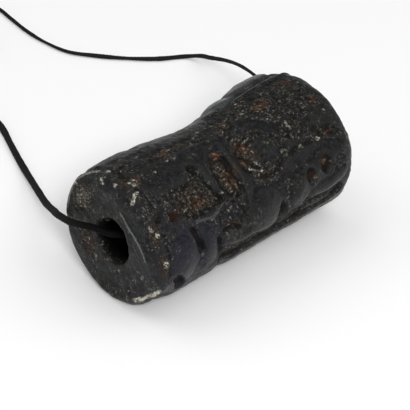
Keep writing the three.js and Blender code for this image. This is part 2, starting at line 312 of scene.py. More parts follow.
@dataclass
class Nodes:
    """A material's node tree, with short calls for the nodes that the finishes use."""

    material: bpy.types.Material

    def __post_init__(self) -> None:
        """Start from the shader and the output alone."""
        self.material.use_nodes = True
        self.tree = self.material.node_tree
        self.shader = self.tree.nodes["Principled BSDF"]

    def link(self, source: bpy.types.NodeSocket, target: bpy.types.NodeSocket) -> None:
        """Join two sockets."""
        self.tree.links.new(source, target)

    def place(self) -> bpy.types.NodeSocket:
        """Object coordinates, which are the row frame in metres."""
        return self.tree.nodes.new("ShaderNodeTexCoord").outputs["Object"]

    def attribute(self, name: str) -> bpy.types.NodeSocket:
        """One number stored on the piece's points."""
        node = self.tree.nodes.new("ShaderNodeAttribute")
        node.attribute_name = name
        return node.outputs["Fac"]

    def noise(self, size: float, detail: float = 3.0, roughness: float = 0.6) -> bpy.types.NodeSocket:
        """Noise in 0..1 whose features are about size metres wide."""
        node = self.tree.nodes.new("ShaderNodeTexNoise")
        node.inputs["Scale"].default_value = 1.0 / size
        node.inputs["Detail"].default_value = detail
        node.inputs["Roughness"].default_value = roughness
        self.link(self.place(), node.inputs["Vector"])
        return node.outputs["Fac"]

    def math(self, operation: str, first: object, second: object = 0.0) -> bpy.types.NodeSocket:
        """A Math node over two numbers or sockets."""
        node = self.tree.nodes.new("ShaderNodeMath")
        node.operation = operation
        for socket, value in zip(node.inputs, (first, second)):
            if isinstance(value, bpy.types.NodeSocket):
                self.link(value, socket)
            else:
                socket.default_value = value
        return node.outputs["Value"]

    def ramp(self, value: bpy.types.NodeSocket, low: float, high: float,
             bottom: float = 0.0, top: float = 1.0) -> bpy.types.NodeSocket:
        """Smoothly carry a value from low..high to bottom..top."""
        node = self.tree.nodes.new("ShaderNodeMapRange")
        node.interpolation_type = "SMOOTHSTEP"
        for key, number in (("From Min", low), ("From Max", high), ("To Min", bottom), ("To Max", top)):
            node.inputs[key].default_value = number
        self.link(value, node.inputs["Value"])
        return node.outputs["Result"]

    def mix(self, share: object, first: object, second: object) -> bpy.types.NodeSocket:
        """Mix two colours by a share."""
        node = self.tree.nodes.new("ShaderNodeMix")
        node.data_type = "RGBA"
        for socket, value in ((node.inputs[0], share), (node.inputs[6], first), (node.inputs[7], second)):
            if isinstance(value, bpy.types.NodeSocket):
                self.link(value, socket)
            elif isinstance(value, tuple):
                socket.default_value = (*value, 1.0)
            else:
                socket.default_value = value
        return node.outputs[2]

    def bump(self, height: bpy.types.NodeSocket, strength: float, distance: float) -> bpy.types.NodeSocket:
        """A Bump node over a height, with its distance in metres."""
        node = self.tree.nodes.new("ShaderNodeBump")
        node.inputs["Strength"].default_value = strength
        node.inputs["Distance"].default_value = distance
        self.link(height, node.inputs["Height"])
        return node.outputs["Normal"]


@dataclass(frozen=True)
class StoneFinish:
    """Worn near-black stone: smooth where rubbed, with earth, rust and pale crust in its hollows, painted
    shade in its crevices and bore, and painted highlights on its edges, rims and lips.
    """

    name: str = "worn_black_stone"
    dark: tuple[float, float, float] = (0.0022, 0.0023, 0.0028)
    grey: tuple[float, float, float] = (0.0168, 0.0172, 0.0166)
    green: tuple[float, float, float] = (0.0085, 0.0125, 0.0090)
    violet: tuple[float, float, float] = (0.0130, 0.0115, 0.0290)
    brown: tuple[float, float, float] = (0.0080, 0.0050, 0.0030)
    umber: tuple[float, float, float] = (0.0700, 0.0450, 0.0260)
    rust: tuple[float, float, float] = (0.0900, 0.0350, 0.0150)
    orange: tuple[float, float, float] = (0.3600, 0.1850, 0.0950)
    dust: tuple[float, float, float] = (0.1150, 0.1120, 0.0950)
    cream: tuple[float, float, float] = (0.3800, 0.3600, 0.2900)
    chalk: tuple[float, float, float] = (0.5000, 0.4800, 0.3900)
    glint: tuple[float, float, float] = (0.1500, 0.1600, 0.1600)
    bore_shade_black: tuple[float, float, float] = (0.0010, 0.0009, 0.0010)
    roughness: tuple[float, float] = (0.26, 0.58)
    specular: float = 0.12
    fine_grain: float = 0.00024
    dust_grain: float = 0.00026
    dust_drift: float = 0.0012
    mottle_size: float = 0.0005
    cloud_size: float = 0.0011
    green_size: float = 0.0017
    tint_size: float = 0.0009
    crust_size: float = 0.0004
    bump_grain: float = 0.00022
    bump_height: float = 0.0002

    def specks(self, nodes: Nodes) -> bpy.types.NodeSocket:
        """Share of pale dust: grains a fifth of a millimetre wide, thicker where it is rough."""
        spread = nodes.ramp(nodes.noise(self.dust_drift), 0.38, 0.64, -0.4, 0.4)
        density = nodes.ramp(nodes.math("ADD", nodes.attribute("rough"), spread), 0.1, 1.0, 0.04, 1.0)
        grains = nodes.ramp(nodes.noise(self.dust_grain, 3.0, 0.85), 0.53, 0.66)
        return nodes.math("MULTIPLY", grains, density)

    def colour(self, nodes: Nodes, fine: bpy.types.NodeSocket) -> bpy.types.NodeSocket:
        """Layer the colours, from the stone outwards.

        Args:
            nodes: The material's nodes.
            fine: Fine noise that breaks up the edges of each layer.

        Returns:
            The colour's socket.
        """
        broken = nodes.ramp(fine, 0.34, 0.66)
        jitter = nodes.ramp(fine, 0.3, 0.7, -0.4, 0.4)
        mottle = nodes.ramp(nodes.noise(self.mottle_size, 6.0, 0.8), 0.38, 0.64)
        colour = nodes.mix(mottle, self.dark, self.grey)
        cloud = nodes.ramp(nodes.noise(self.cloud_size, 4.0, 0.7), 0.42, 0.62, 0.0, 0.7)
        colour = nodes.mix(cloud, colour, self.dark)
        greenish = nodes.ramp(nodes.noise(self.green_size), 0.5, 0.7, 0.0, 0.7)
        colour = nodes.mix(greenish, colour, self.green)
        tint = nodes.ramp(nodes.noise(self.tint_size, 4.0), 0.46, 0.66, 0.0, 0.5)
        tint = nodes.math("MULTIPLY", nodes.math("MAXIMUM", nodes.attribute("violet"), tint), mottle)
        colour = nodes.mix(tint, colour, self.violet)
        # Edge wear with painted sheen: convex edges and lips are lightened towards grey.
        colour = nodes.mix(nodes.math("MULTIPLY", nodes.attribute("edge_wear_and_sheen"), 0.5), colour, self.grey)

        soil = nodes.ramp(nodes.noise(self.dust_grain, 4.0, 0.8), 0.42, 0.66)
        soil = nodes.mix(soil, self.brown, self.umber)
        share = nodes.ramp(nodes.math("ADD", nodes.attribute("earth"), jitter), 0.15, 0.85, 0.0, 0.85)
        colour = nodes.mix(share, colour, soil)
        rust = nodes.attribute("rust")
        ember = nodes.math("MULTIPLY", rust, nodes.ramp(broken, 0.0, 1.0, 0.5, 1.1))
        burnt = nodes.mix(nodes.ramp(ember, 0.75, 1.4), self.rust, self.orange)
        share = nodes.ramp(nodes.math("ADD", rust, jitter), 0.2, 1.1)
        colour = nodes.mix(share, colour, burnt)

        pale = nodes.ramp(nodes.noise(self.mottle_size, 4.0, 0.8), 0.5, 0.62)
        pale = nodes.mix(pale, self.dust, self.cream)
        colour = nodes.mix(self.specks(nodes), colour, pale)
        # Painted highlight: pale grey glint lines and patches on rims, lips and the lobes behind the top
        # edge.
        painted_highlight = nodes.math("MULTIPLY", nodes.attribute("painted_highlight"), nodes.ramp(broken, 0.0, 0.8, 0.45, 1.0))
        colour = nodes.mix(painted_highlight, colour, self.glint)
        crust = nodes.ramp(nodes.noise(self.crust_size, 3.0, 0.8), 0.4, 0.56)
        crust = nodes.mix(crust, self.dust, self.chalk)
        grain = nodes.ramp(broken, 0.0, 1.0, 0.3, 1.25)
        share = nodes.ramp(nodes.math("MULTIPLY", nodes.attribute("chalk"), grain), 0.3, 0.95)
        colour = nodes.mix(share, colour, crust)
        # Dirt with painted shade: narrow hollows and crevices darken towards black, except on the near end.
        colour = nodes.mix(nodes.math("MULTIPLY", nodes.attribute("crevice_dirt_and_shade"), 0.8), colour, self.dark)
        # Painted shade: the bore's wall goes near-black with depth.
        return nodes.mix(nodes.attribute("deep_bore_shade"), colour, self.bore_shade_black)

    def material(self) -> bpy.types.Material:
        """Build the material.

        Returns:
            A material that reads the attributes which Stone stores on its points.
        """
        nodes = Nodes(bpy.data.materials.new(self.name))
        fine = nodes.noise(self.fine_grain, 4.0, 0.8)
        nodes.link(self.colour(nodes, fine), nodes.shader.inputs["Base Color"])

        dull = nodes.math("MAXIMUM", nodes.attribute("earth"), nodes.attribute("chalk"))
        dull = nodes.math("MAXIMUM", dull, nodes.attribute("rough"))
        dull = nodes.math("MAXIMUM", dull, nodes.attribute("deep_bore_shade"))
        dull = nodes.math("ADD", dull, nodes.ramp(fine, 0.3, 0.75, -0.2, 0.2))
        nodes.link(nodes.ramp(dull, 0.05, 1.0, *self.roughness), nodes.shader.inputs["Roughness"])
        nodes.shader.inputs["Specular IOR Level"].default_value = self.specular
        relief = nodes.ramp(nodes.attribute("rough"), 0.0, 1.0, 0.3, 1.0)
        height = nodes.math("MULTIPLY", nodes.noise(self.bump_grain, 4.0, 0.7), relief)
        nodes.link(nodes.bump(height, 1.0, self.bump_height), nodes.shader.inputs["Normal"])
        return nodes.material


@dataclass(frozen=True)
class ThreadFinish:
    """Black spun thread: matt, with a slight sheen and paler fibre ends, and painted shade, near-black, in
    and near the bore.
    """

    black: tuple[float, float, float] = (0.006, 0.006, 0.0065)
    pale: tuple[float, float, float] = (0.022, 0.020, 0.019)
    thread_shade_black: tuple[float, float, float] = (0.0008, 0.0008, 0.0008)
    roughness: float = 0.82
    specular: float = 0.12
    fibre_size: float = 0.00012
    bump_height: float = 0.00003

    def material(self) -> bpy.types.Material:
        """Build the material.

        Returns:
            A material that reads the thread's ply and inside attributes.
        """
        nodes = Nodes(bpy.data.materials.new("black_thread"))
        fibre = nodes.noise(self.fibre_size, 3.0, 0.7)
        share = nodes.math("MULTIPLY", nodes.attribute("ply"), nodes.ramp(fibre, 0.35, 0.7))
        colour = nodes.mix(share, self.black, self.pale)
        # Painted shade: the thread goes near-black in the bore and close to the stone by its ends.
        colour = nodes.mix(nodes.attribute("inside"), colour, self.thread_shade_black)
        nodes.link(colour, nodes.shader.inputs["Base Color"])
        nodes.shader.inputs["Roughness"].default_value = self.roughness
        nodes.shader.inputs["Specular IOR Level"].default_value = self.specular
        nodes.link(nodes.bump(fibre, 0.5, self.bump_height), nodes.shader.inputs["Normal"])
        return nodes.material


@dataclass(frozen=True)
class FloorFinish:
    """Plain matt white backdrop."""

    white: tuple[float, float, float] = (0.93, 0.93, 0.93)
    roughness: float = 0.9
    specular: float = 0.1

    def material(self) -> bpy.types.Material:
        """Build the material."""
        nodes = Nodes(bpy.data.materials.new("white_backdrop"))
        nodes.shader.inputs["Base Color"].default_value = (*self.white, 1.0)
        nodes.shader.inputs["Roughness"].default_value = self.roughness
        nodes.shader.inputs["Specular IOR Level"].default_value = self.specular
        return nodes.material


# ---------------------------------------------------------------------------------- the stone


@dataclass
class Stone:
    """The carved stone: a profile carried round its axis, through its bore and back.

    Past the near rim a place's number along goes on growing away from the middle, by as much as the
    radius has shrunk, so that deposits and fine marks on the near end have places of the same kind.
    Sizes are in mm, turns in degrees, and roughness runs from 0 to 1.
    """

    length: float = 28.0
    radius: float = 7.4
    axis_height: float = 7.3
    near_rim: float = 1.1
    far_rim: float = 1.35
    rim_power: float = 1.5
    near_bevel: Swelling = Swelling(place=(-14.0, 48.0), reach=(1.0, 44.0), rise=1.6)
    near_corner: Swelling = Swelling(place=(-14.0, -43.0), reach=(1.0, 10.0), rise=-0.75)
    face_dish: float = 0.15
    bore_mouth: float = 2.25
    bore_waist: float = 1.65
    bore_flare: float = 1.6
    lip: float = 0.35
    mouth_wear: float = 0.08
    mouth_hollow: Swelling = Swelling(place=(-14.0, 16.0), reach=(1.0, 50.0), rise=0.62)
    rim_calm: tuple[float, float] = (0.4, 2.2)
    calm_share: float = 0.35
    edge: float = 0.24
    mark_edge: float = 0.1
    plain_rough: float = 0.35
    bore_rough: float = 0.4
    wander: float = 0.16
    wander_size: float = 1.9
    grain_rise: float = 0.10
    grain_size: float = 0.6
    pit_depth: float = 0.07
    pit_size: float = 0.95
    ripple_rise: float = 0.05
    ripple_size: float = 1.7
    side_rows: int = 288
    columns: int = 258
    crowding: tuple[float, float] = (20.0, 45.0)
    bore_depths: tuple[float, ...] = (0.9, 1.6, 2.4, 3.4, 5.0, 8.0)
    near_window: tuple[int, int] = (4, 3)
    mid_window: tuple[int, int] = (9, 6)
    wide_window: tuple[int, int] = (22, 13)
    near_rings: tuple[int, int, int] = (24, 18, 6)
    far_rings: tuple[int, int, int] = (12, 9, 5)
    swellings: tuple[Swelling, ...] = (
        Swelling((-9.6, -50), (4.2, 70), 0.28),
        Swelling((0.2, -50), (4.4, 75), -0.66),
        Swelling((10.4, -50), (3.6, 62), 0.34),
        Swelling((-12.9, 134), (1.3, 22), -0.85),
        Swelling((13.2, 64), (2.2, 26), 0.34),
        Swelling((-13.0, -43), (1.5, 12), 0.12),
        Swelling((-4.2, 136), (0.8, 20), -0.4),
    )
    carving: tuple[Form, ...] = field(default_factory=lambda: CARVING)
    end_marks: tuple[Form, ...] = field(default_factory=lambda: END_MARKS)
    patches: tuple[Patch, ...] = field(default_factory=lambda: laid_patches())

    def turns(self) -> np.ndarray:
        """Turns of the columns: even ones less a sine, so that they are closer on the front."""
        even = np.linspace(0.0, 360.0, self.columns, endpoint=False)
        swing, front = self.crowding
        return even - swing * np.sin(np.radians(even - front))

    def relief(self, along: np.ndarray, turn: np.ndarray) -> tuple[np.ndarray, np.ndarray]:
        """Height of the carved surface and its roughness at each place.

        Args:
            along: Places along the axis, in mm.
            turn: Turns, in degrees.

        Returns:
            Level over the uncarved stone in mm, and roughness from 0 to 1.
        """
        angle = np.radians(turn)
        solid = np.stack([along, -self.radius * np.sin(angle), self.radius * np.cos(angle)], -1)
        x = along + self.wander * fractal(solid, self.wander_size, 5)
        t = turn + np.degrees(self.wander / self.radius) * fractal(solid, self.wander_size, 41)
        level, rough = self.blend(self.carving, x, t, self.plain_rough, self.edge)
        for swelling in self.swellings:
            level += swelling.height(along, turn)
        return level, rough

    @staticmethod
    def blend(forms: tuple[Form, ...], along: np.ndarray, turn: np.ndarray, ground: float,
              edge: float) -> tuple[np.ndarray, np.ndarray]:
        """Bring the level and the roughness to each form's own in turn, inside its outline.

        Args:
            forms: The forms, from the first cut to the last.
            along: Places along the axis, in mm.
            turn: Turns, in degrees.
            ground: Roughness outside all forms.
            edge: Half width of a form's soft edge, in mm.

        Returns:
            Level in mm and roughness from 0 to 1.
        """
        level = np.zeros(along.shape)
        rough = np.full(along.shape, ground)
        for form in forms:
            reach = form.reach(along, turn)
            cover = form.cover(reach, edge)
            target = form.level + form.crown * np.maximum(0.0, 1.0 - reach * reach)
            level += (target - level) * cover
            rough += (form.rough - rough) * cover
        return level, rough

    def side_radius(self, along: np.ndarray, turn: np.ndarray) -> tuple[np.ndarray, np.ndarray]:
        """Radius of the carved side, calmed towards the rims, and its roughness."""
        level, rough = self.relief(along, turn)
        to_rim = self.length / 2 - np.abs(along)
        calm = self.calm_share + (1.0 - self.calm_share) * smoothstep(to_rim, *self.rim_calm)
        return self.radius + calm * level, rough

    def mouth_growth(self, turn: np.ndarray) -> np.ndarray:
        """How far the near mouth of the bore has worn wider: a little all round, most near its top."""
        return self.mouth_wear + self.mouth_hollow.height(np.full_like(turn, -self.length / 2), turn)

    def end_rings(self, side: int, edge_radius: np.ndarray,
                  turn: np.ndarray) -> tuple[np.ndarray, np.ndarray]:
        """Rings round an end's rim, in over its face and round the lip of its bore.

        Args:
            side: 1 for the far end, -1 for the near end.
            edge_radius: Radius where the side meets the rim, one for each column.
            turn: Turns of the columns.

        Returns:
            Place along and radius, each of shape (rings, columns), from the side inwards. The rim is
            a quarter of a superellipse, which the near end's bevel widens; the face is a shallow
            dish; and the lip is a quarter circle.
        """
        rim = self.far_rim if side > 0 else self.near_rim
        power = 2.0 if side > 0 else self.rim_power
        arc_count, face_count, lip_count = self.far_rings if side > 0 else self.near_rings
        width = np.full_like(turn, rim)
        mouth = np.full_like(turn, self.bore_mouth)
        if side < 0:
            for change in (self.near_bevel, self.near_corner):
                width = width + change.height(np.full_like(turn, change.place[0]), turn)
            mouth = mouth + self.mouth_growth(turn)
        arc = np.linspace(0.0, math.pi / 2, arc_count + 1)[1:, None]
        edge = self.length / 2 - rim
        rim_along = side * (edge + rim * np.sin(arc) ** (2.0 / power)) + 0.0 * edge_radius
        rim_radius = edge_radius - width * (1.0 - np.maximum(np.cos(arc), 0.0) ** (2.0 / power))
        share = np.linspace(0.0, 1.0, face_count + 2)[1:-1, None]
        face_radius = rim_radius[-1] * (1.0 - share) + (mouth + self.lip) * share
        dish = self.face_dish * np.sin(share * math.pi / 2)
        face_along = side * (self.length / 2 - dish) + 0.0 * edge_radius
        lip_arc = np.linspace(0.0, math.pi / 2, lip_count)[:, None]
        lip_along = side * (self.length / 2 - self.face_dish - self.lip * (1.0 - np.cos(lip_arc)))
        lip_radius = mouth + self.lip * (1.0 - np.sin(lip_arc))
        return (
            np.concatenate([rim_along, face_along, lip_along + 0.0 * edge_radius]),
            np.concatenate([rim_radius, face_radius, lip_radius]),
        )

    def profile(self) -> tuple[np.ndarray, np.ndarray, np.ndarray, np.ndarray]:
        """Carry the whole profile round the axis.

        Returns:
            Place along, radius, turn and roughness of each point, shape (rings, columns).
        """
        turn = self.turns()
        span = np.linspace(-self.length / 2 + self.near_rim, self.length / 2 - self.far_rim, self.side_rows)
        along, turns = np.meshgrid(span, turn, indexing="ij")
        radius, rough = self.side_radius(along, turns)
        near_along, near_radius = self.end_rings(-1, radius[0], turn)
        far_along, far_radius = self.end_rings(1, radius[-1], turn)
        depth = np.array([*self.bore_depths, self.length / 2, *self.bore_depths[::-1]])
        from_far = np.arange(len(depth)) < len(depth) // 2
        bore_along = np.where(from_far, 1, -1) * (self.length / 2 - depth)
        fade = np.exp(-depth / self.bore_flare)[:, None]
        bore = self.bore_waist + (self.bore_mouth - self.bore_waist) * fade
        bore = bore + np.where(from_far[:, None], 0.0, fade * self.mouth_growth(turn))
        flat = np.ones_like(turn)
        along = np.concatenate([along, far_along, bore_along[:, None] * flat, near_along[::-1]])
        radius = np.concatenate([radius, far_radius, bore, near_radius[::-1]])
        rough = np.concatenate([rough, np.full((len(along) - len(rough), len(turn)), self.bore_rough)])
        return along, radius, np.broadcast_to(turn, along.shape), rough

    def points(self, along: np.ndarray, radius: np.ndarray, turn: np.ndarray) -> np.ndarray:
        """Places in mm: (along, -radius sin turn, axis height + radius cos turn)."""
        angle = np.radians(turn)
        return np.stack([along, -radius * np.sin(angle), self.axis_height + radius * np.cos(angle)], -1)

    @staticmethod
    def normals(points: np.ndarray) -> np.ndarray:
        """Outward normals: the cross product of the steps along and round the closed grid."""
        down = np.roll(points, -1, 0) - np.roll(points, 1, 0)
        round_ = np.roll(points, -1, 1) - np.roll(points, 1, 1)
        normal = np.cross(round_, down)
        return normal / np.maximum(np.linalg.norm(normal, axis=-1, keepdims=True), 1e-9)

    @staticmethod
    def sunkness(surface: np.ndarray, normal: np.ndarray, window: tuple[int, int]) -> np.ndarray:
        """How far each point lies under the mean of its neighbours in a window, along its normal."""
        return np.sum((blurred(surface, *window) - surface) * normal, -1)

    def deposits(self, base: np.ndarray, along: np.ndarray, turn: np.ndarray) -> dict[Deposit, np.ndarray]:
        """How much of each deposit and of the painted highlight lies at each point, from 0: ragged patches.
        """
        ragged = 0.3 * fractal(base, self.grain_size, 57)
        layers = {kind: np.zeros(along.shape) for kind in Deposit}
        for patch in self.patches:
            share = 1.0 - smoothstep(patch.form.reach(along, turn) + ragged, 0.5, 1.4)
            layers[patch.deposit] = np.maximum(layers[patch.deposit], patch.strength * share)
        return layers

    def build(self) -> bpy.types.Object:
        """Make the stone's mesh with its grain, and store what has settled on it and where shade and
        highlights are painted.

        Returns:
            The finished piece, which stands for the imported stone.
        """
        along, radius, turn, rough = self.profile()
        rows = np.arange(len(along))[:, None]
        bore_row = len(along) - sum(self.near_rings)
        near_end = np.broadcast_to(rows >= bore_row, along.shape)
        in_bore = (rows < bore_row) & (rows >= self.side_rows + sum(self.far_rings))
        past = np.where(near_end, along - (self.radius - radius), along)
        base = self.points(along, radius, turn)
        normal = self.normals(base)
        marks, mark_rough = self.blend(self.end_marks, past, turn, self.plain_rough, self.mark_edge)
        rough = np.where(near_end, mark_rough, rough)
        rough = np.clip(rough + 0.22 * fractal(base, 2.4, 33, 2), 0.0, 1.0)
        pits = smoothstep(0.36 - nearest_seed(base, self.pit_size, 11), 0.0, 0.24)
        grain = rough * (self.grain_rise * fractal(base, self.grain_size, 71) - self.pit_depth * pits)
        grain = grain + self.ripple_rise * fractal(base, self.ripple_size, 91)
        grain = grain + np.where(near_end, marks, 0.0)
        surface = base + normal * grain[..., None]
        surface[..., 2] = np.maximum(surface[..., 2], 0.0)

        windows = (self.near_window, self.mid_window, self.wide_window)
        near, hollow, wide = (self.sunkness(surface, normal, window) for window in windows)
        wide = wide * ~near_end
        layers = self.deposits(base, past, turn)
        earth = smoothstep(wide + 0.5 * hollow, 0.02, 0.24) * 0.75 + 0.3 * smoothstep(rough, 0.35, 1.0)
        earth = np.clip(earth + 0.2 * fractal(base, 0.9, 23) - 0.1, 0.0, 1.0)
        from_end = self.length / 2 - np.abs(along)
        inside = np.broadcast_to(in_bore, along.shape) | (radius < self.bore_mouth + 1.1)
        violet = 1.0 - smoothstep(VIOLET_LOBES.reach(along, turn), 0.5, 1.3)
        violet = np.maximum(violet, 1.0 - smoothstep(VIOLET_BAND.reach(past, turn), 0.5, 1.5))
        values = {
            "earth": np.maximum(earth, layers[Deposit.EARTH]),
            "rust": layers[Deposit.RUST],
            "chalk": layers[Deposit.CHALK],
            # Painted highlight, from its patches and streaks.
            "painted_highlight": layers[Deposit.PAINTED_HIGHLIGHT],
            # Edge wear and painted sheen: lighter on convex edges.
            "edge_wear_and_sheen": smoothstep(-near - 0.35 * hollow, 0.004, 0.05),
            # Dirt and painted shade in narrow hollows.
            "crevice_dirt_and_shade": smoothstep(near + 0.35 * hollow, 0.01, 0.085) * ~near_end,
            "violet": violet,
            "rough": rough,
            # Painted shade: near-black colour deep in the bore and round its mouths.
            "deep_bore_shade": inside * smoothstep(from_end, 0.2, 1.2),
        }
        piece = closed_surface("seal_stone", surface * MM, caps=False)
        for name, value in values.items():
            set_attribute(piece, name, value)
        piece.data.materials.append(StoneFinish().material())
        # Painted shade: the bore's wall has the same colours, which go near-black with depth, and no
        # reflection.
        piece.data.materials.append(StoneFinish("bore_wall", roughness=(0.9, 1.0), specular=0.0).material())
        slots = np.broadcast_to(in_bore, along.shape).astype(np.int32)
        piece.data.polygons.foreach_set("material_index", slots.ravel())
        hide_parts("seal")
        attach(piece, "root")
        return piece


CARVING: tuple[Form, ...] = (
    # rough skin of the top right, and the plainer bands along the top
    Oval(-0.05, 0.0, 0.9, (6.6, 4), (7.4, 4.6)),
    Stroke(-0.02, 0.0, 0.7, ((-11, -3), (-6, 0), (0, 1)), 1.0),
    Stroke(0.04, 0.05, 0.35, ((-9.5, 7), (-4.5, 6), (-0.5, 9)), 0.3),
    Oval(0.03, 0.06, 0.05, (-8.6, 22), (3.1, 1.45)),
    Oval(0.0, 0.05, 0.12, (-3.4, 15), (2.6, 0.9)),
    Oval(0.0, 0.06, 0.4, (11.2, 36), (1.3, 1.5)),
    Stroke(-0.16, 0.0, 0.3, ((2.0, 10), (4.4, 17), (5.8, 26)), 0.8),
    # border line round the near end
    Stroke(-0.2, 0.0, 0.9, ((-12.4, -60), (-12.4, -10), (-12.3, 10)), 0.4),
    Stroke(-0.14, 0.0, 0.9, ((-12.6, 14), (-12.9, 50), (-12.8, 100)), 0.55),
    # sunk field between the two animals
    Oval(-0.3, 0.0, 1.0, (-7.7, 47), (2.6, 1.9), 12),
    Stroke(-0.42, 0.0, 1.0, ((-8.6, 51), (-6.2, 54), (-4.9, 57)), 0.75),
    Stroke(-0.36, 0.0, 0.8, ((-7.4, 42), (-6.3, 34), (-5.75, 25)), 0.55),
    Oval(-0.6, 0.0, 0.9, (-5.7, 26.5), (0.28, 0.5)),
    Oval(-0.34, 0.0, 1.0, (-2.6, 41), (1.35, 2.6), 4),
    Stroke(-0.46, 0.0, 1.0, ((-1.9, 44), (-1.9, 52), (-2.2, 59)), 0.6),
    Stroke(0.0, 0.08, 0.3, ((-4.9, 26), (-4.6, 36), (-4.4, 45)), 0.42),
    Stroke(-0.62, 0.0, 0.7, ((-5.45, 27), (-5.3, 40), (-5.0, 49), (-4.3, 56.5)), 0.16),
    Stroke(0.0, 0.1, 0.6, ((-8.6, 63), (-6.5, 66.5), (-4.4, 61.5)), 0.26),
    Oval(-0.62, 0.0, 0.8, (-10.55, 51), (0.6, 0.65)),
    Oval(-0.15, 0.1, 0.7, (-10.8, 36), (0.6, 0.4)),
    Oval(-0.2, 0.0, 0.7, (-3.9, 73), (1.8, 1.7)),
    Stroke(-0.5, 0.0, 0.8, ((-5.5, 84), (-3.8, 83), (-3.0, 86.5)), 0.2),
    # fore part of the left animal: two smooth lobes with a notch between them
    Oval(0.04, 0.3, 0.0, (-10.7, 90), (1.75, 3.0), -4),
    Oval(0.0, 0.3, 0.0, (-7.2, 90), (1.05, 2.5), -4),
    Stroke(-0.55, 0.0, 0.25, ((-9.0, 68), (-8.7, 77), (-8.3, 89)), 0.3),
    Stroke(-0.5, 0.0, 0.25, ((-6.0, 87), (-5.9, 95), (-5.4, 106)), 0.28),
    Stroke(-0.6, 0.0, 0.3, ((-11.5, 103), (-10.5, 117)), 0.5),
    # its curved neck, and the disc in its sunk ring
    Oval(-0.22, 0.0, 1.0, (2.5, 41.5), (3.2, 2.55), 3),
    Oval(-0.08, 0.12, 0.35, (3.05, 40), (1.95, 1.35)),
    Stroke(-0.5, 0.0, 0.9, ((0.3, 36), (0.75, 44), (1.5, 52)), 0.26),
    Stroke(-0.02, 0.06, 0.7, ((2.1, 50.5), (3.6, 50.5), (5.0, 47.5)), 0.16),
    Stroke(0.06, 0.14, 0.0, ((-1, 16), (-1.15, 30), (-1.1, 42), (-0.85, 52), (-0.8, 62), (-1.2, 72)), 0.44),
    Stroke(-0.42, 0.0, 0.7, ((-1.7, 27), (-1.62, 42), (-1.4, 60)), 0.14),
    # lines over the right animal's back
    Oval(-0.16, 0.0, 0.9, (8.0, 34), (2.0, 1.5)),
    Oval(-0.3, 0.0, 0.7, (6.9, 36), (0.42, 0.5)),
    Oval(-0.22, 0.0, 0.8, (10.0, 43.5), (0.5, 0.5)),
    Stroke(-0.2, 0.0, 0.9, ((5.7, 53), (7.4, 51), (9.6, 51.5), (10.6, 48)), 0.32),
    Stroke(-0.24, 0.0, 0.6, ((10.5, 48.5), (11.6, 50.5), (12.2, 53)), 0.42),
    Stroke(0.05, 0.08, 0.4, ((10.9, 55), (12.1, 58), (13.0, 64)), 0.18),
    Oval(0.02, 0.1, 0.1, (8.3, 62), (4.3, 0.9), 2),
    # hanging edge of the ledge under both animals
    Stroke(-0.5, 0.0, 0.9, ((-4.5, 112), (2, 112), (11.2, 108)), 1.15),
    Stroke(-0.26, 0.0, 0.4, ((7, 112), (10.5, 113)), 0.3),
    # body of the right animal, with its two drilled pits
    Oval(0.04, 0.26, 0.2, (9.2, 77), (3.9, 2.3)),
    Oval(0.0, 0.1, 0.9, (11.4, 80), (0.9, 1.2)),
    Oval(-0.34, 0.0, 0.7, (7.3, 77.5), (0.62, 0.85)),
    Oval(-0.24, 0.0, 0.7, (9.6, 73.5), (0.7, 1.0)),
    # haunch, foreleg and paws
    Stroke(0.05, 0.1, 0.1, ((-5.3, 93.5), (-3.8, 97), (-1.6, 99)), 0.42),
    Oval(0.12, 0.42, 0.0, (0.5, 85), (2.6, 2.6), 12),
    Oval(-0.5, 0.0, 0.9, (3.0, 96), (0.8, 1.4), 12),
    Oval(0.12, 0.3, 0.0, (5.6, 84), (1.4, 1.75)),
    Oval(0.1, 0.26, 0.05, (9.9, 92), (2.7, 1.0), -4),
    Oval(-0.9, 0.0, 0.8, (6.75, 100), (0.4, 0.45)),
    # two smooth lobes behind the top edge
    Stroke(-0.6, 0.0, 0.3, ((4.6, -25.5), (12.8, -25.0)), 0.48),
    Stroke(0.1, 0.1, 0.1, ((5.6, -19.5), (12.6, -18.7)), 0.26),
    Oval(0.2, 0.32, 0.05, (9.9, -46), (2.8, 2.7)),
    Oval(0.08, 0.22, 0.05, (5.4, -45), (1.5, 2.3)),
    Stroke(-0.3, 0.0, 0.4, ((-7.1, -62), (-7.1, -30)), 0.4),
    # the far side: a sunk field with a standing animal, a small one, and a disc
    Oval(-0.5, 0.0, 0.9, (-6.2, 255), (5.4, 6.2)),
    Oval(-0.5, 0.0, 0.9, (5.9, 252), (5.6, 6.4)),
    Oval(0.0, 0.4, 0.06, (-5.9, 246), (3.5, 1.55), -10),
    Oval(0.05, 0.4, 0.06, (-2.9, 233), (1.6, 1.5)),
    Stroke(0.0, 0.2, 0.06, ((-2.6, 238), (-1.5, 262), (-0.6, 272)), 0.6),
    Oval(0.02, 0.2, 0.06, (0.2, 276), (1.3, 0.75), 15),
    Stroke(-0.05, 0.1, 0.1, ((-8.3, 243), (-8.7, 222), (-9.4, 213)), 0.5),
    Stroke(-0.05, 0.1, 0.1, ((-3.3, 236), (-3.9, 220), (-3.2, 212)), 0.5),
    Oval(-0.05, 0.15, 0.3, (-7.4, 283), (1.5, 1.5)),
    Oval(0.02, 0.42, 0.06, (6.6, 240), (3.3, 1.8), 8),
    Stroke(0.0, 0.2, 0.06, ((9.1, 246), (10.4, 262), (10.2, 276)), 0.62),
    Stroke(-0.05, 0.1, 0.1, ((4.4, 238), (4.0, 222), (4.8, 212)), 0.5),
    Stroke(-0.05, 0.1, 0.1, ((8.9, 238), (9.5, 222), (8.8, 212)), 0.5),
    Stroke(-0.05, 0.1, 0.2, ((3.2, 262), (5.2, 284)), 0.5),
)


